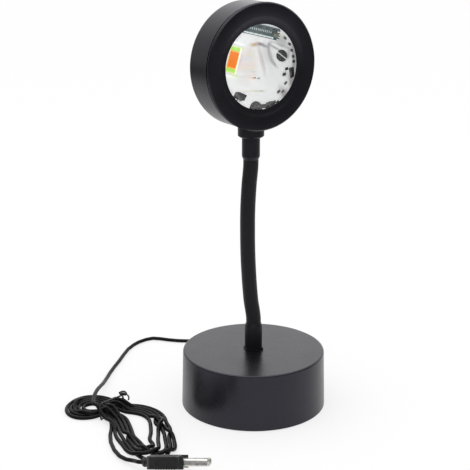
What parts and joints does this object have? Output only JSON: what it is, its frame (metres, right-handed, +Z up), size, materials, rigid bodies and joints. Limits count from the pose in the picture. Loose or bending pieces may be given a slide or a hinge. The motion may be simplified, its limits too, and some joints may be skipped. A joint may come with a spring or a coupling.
{
  "type": "sunset projection lamp",
  "caption": "Sunset projection lamp: weighted drum base, flexible neck and round head with a thick convex lens over a colour LED board, with a USB lead",
  "frame": {"origin": "middle of the base on the surface it stands on", "axes": "+Z up the neck, the lamp is seen from -Y, its lead leaves the base towards +Y"},
  "size_m": [0.1843, 0.2377, 0.2847],
  "materials": {
    "black_coat": "satin black powder coat",
    "cover_plastic": "black moulded ABS",
    "pad_foam": "black EVA foam",
    "ballast_iron": "raw cast iron",
    "brass_fitting": "turned brass",
    "steel_screw": "zinc-plated steel",
    "neck_sleeve": "matt black PVC sleeve over a flexible steel core",
    "cable_jacket": "black PVC cable jacket",
    "lens_glass": "clear polished glass",
    "gasket_rubber": "black silicone",
    "inner_plastic": "black moulded ABS",
    "board_white": "white solder mask",
    "led_silicone": "cast phosphor",
    "control_green": "teal solder mask",
    "parts_black": "moulded epoxy",
    "parts_beige": "moulded epoxy",
    "tie_black": "black plastic over wire",
    "plug_nickel": "bright nickel plate",
    "tongue_white": "white moulded nylon",
    "contact_gold": "gold-flashed contact"
  },
  "bodies": {
    "base": {"base_shell": "black_coat", "bottom_cover": "cover_plastic", "cover_screws": "steel_screw", "bottom_pad": "pad_foam", "ballast_weight": "ballast_iron", "neck_nut": "brass_fitting", "neck_washer": "steel_screw", "strain_relief": "cable_jacket", "base_lead": "cable_jacket", "lower_fitting": "black_coat", "lower_ferrule": "black_coat", "cord_lead": "cable_jacket", "cord_hank": "cable_jacket", "cord_tail": "cable_jacket", "cord_tie": "tie_black", "plug_body": "cable_jacket", "plug_shell": "plug_nickel", "plug_tongue": "tongue_white", "plug_contacts": "contact_gold"},
    "neck_1": {"neck_link_1": "neck_sleeve", "neck_lead_1": "cable_jacket"},
    "neck_2": {"neck_link_2": "neck_sleeve", "neck_lead_2": "cable_jacket"},
    "neck_3": {"neck_link_3": "neck_sleeve", "neck_lead_3": "cable_jacket"},
    "neck_4": {"neck_link_4": "neck_sleeve", "neck_lead_4": "cable_jacket"},
    "neck_5": {"neck_link_5": "neck_sleeve", "neck_lead_5": "cable_jacket"},
    "neck_6": {"neck_link_6": "neck_sleeve", "neck_lead_6": "cable_jacket"},
    "neck_7": {"neck_link_7": "neck_sleeve", "neck_lead_7": "cable_jacket"},
    "head": {"upper_fitting": "brass_fitting", "upper_ferrule": "black_coat", "head_collar": "black_coat", "head_washer": "steel_screw", "head_nut": "brass_fitting", "head_housing": "black_coat", "bezel_ring": "black_coat", "lens": "lens_glass", "lens_gasket": "gasket_rubber", "lens_retainer": "inner_plastic", "retainer_screws": "steel_screw", "light_board": "board_white", "board_screws": "steel_screw", "led_package": "board_white", "led_phosphor": "led_silicone", "control_board": "control_green", "control_parts": "parts_beige", "board_parts": "parts_black", "wire_connector": "parts_black", "head_lead": "cable_jacket"}
  },
  "joints": [
    {"name": "bend_1", "type": "hinge", "parent": "base", "child": "neck_1", "pos_m": [0, 0, 0.0615], "axis": [1, 0, 0], "range_deg": [-25, 25]},
    {"name": "bend_2", "type": "hinge", "parent": "neck_1", "child": "neck_2", "pos_m": [-0.002, 0, 0.0779], "axis": [0, 1, 0], "range_deg": [-25, 25]},
    {"name": "bend_3", "type": "hinge", "parent": "neck_2", "child": "neck_3", "pos_m": [-0.0033, 0, 0.0943], "axis": [1, 0, 0], "range_deg": [-25, 25]},
    {"name": "bend_4", "type": "hinge", "parent": "neck_3", "child": "neck_4", "pos_m": [-0.0041, 0, 0.1107], "axis": [0, 1, 0], "range_deg": [-25, 25]},
    {"name": "bend_5", "type": "hinge", "parent": "neck_4", "child": "neck_5", "pos_m": [-0.0044, 0, 0.1271], "axis": [1, 0, 0], "range_deg": [-25, 25]},
    {"name": "bend_6", "type": "hinge", "parent": "neck_5", "child": "neck_6", "pos_m": [-0.0043, 0, 0.1435], "axis": [0, 1, 0], "range_deg": [-25, 25]},
    {"name": "bend_7", "type": "hinge", "parent": "neck_6", "child": "neck_7", "pos_m": [-0.0035, 0, 0.1599], "axis": [1, 0, 0], "range_deg": [-25, 25]},
    {"name": "bend_8", "type": "hinge", "parent": "neck_7", "child": "head", "pos_m": [-0.0023, 0, 0.1763], "axis": [0, 1, 0], "range_deg": [-25, 25]}
  ]
}
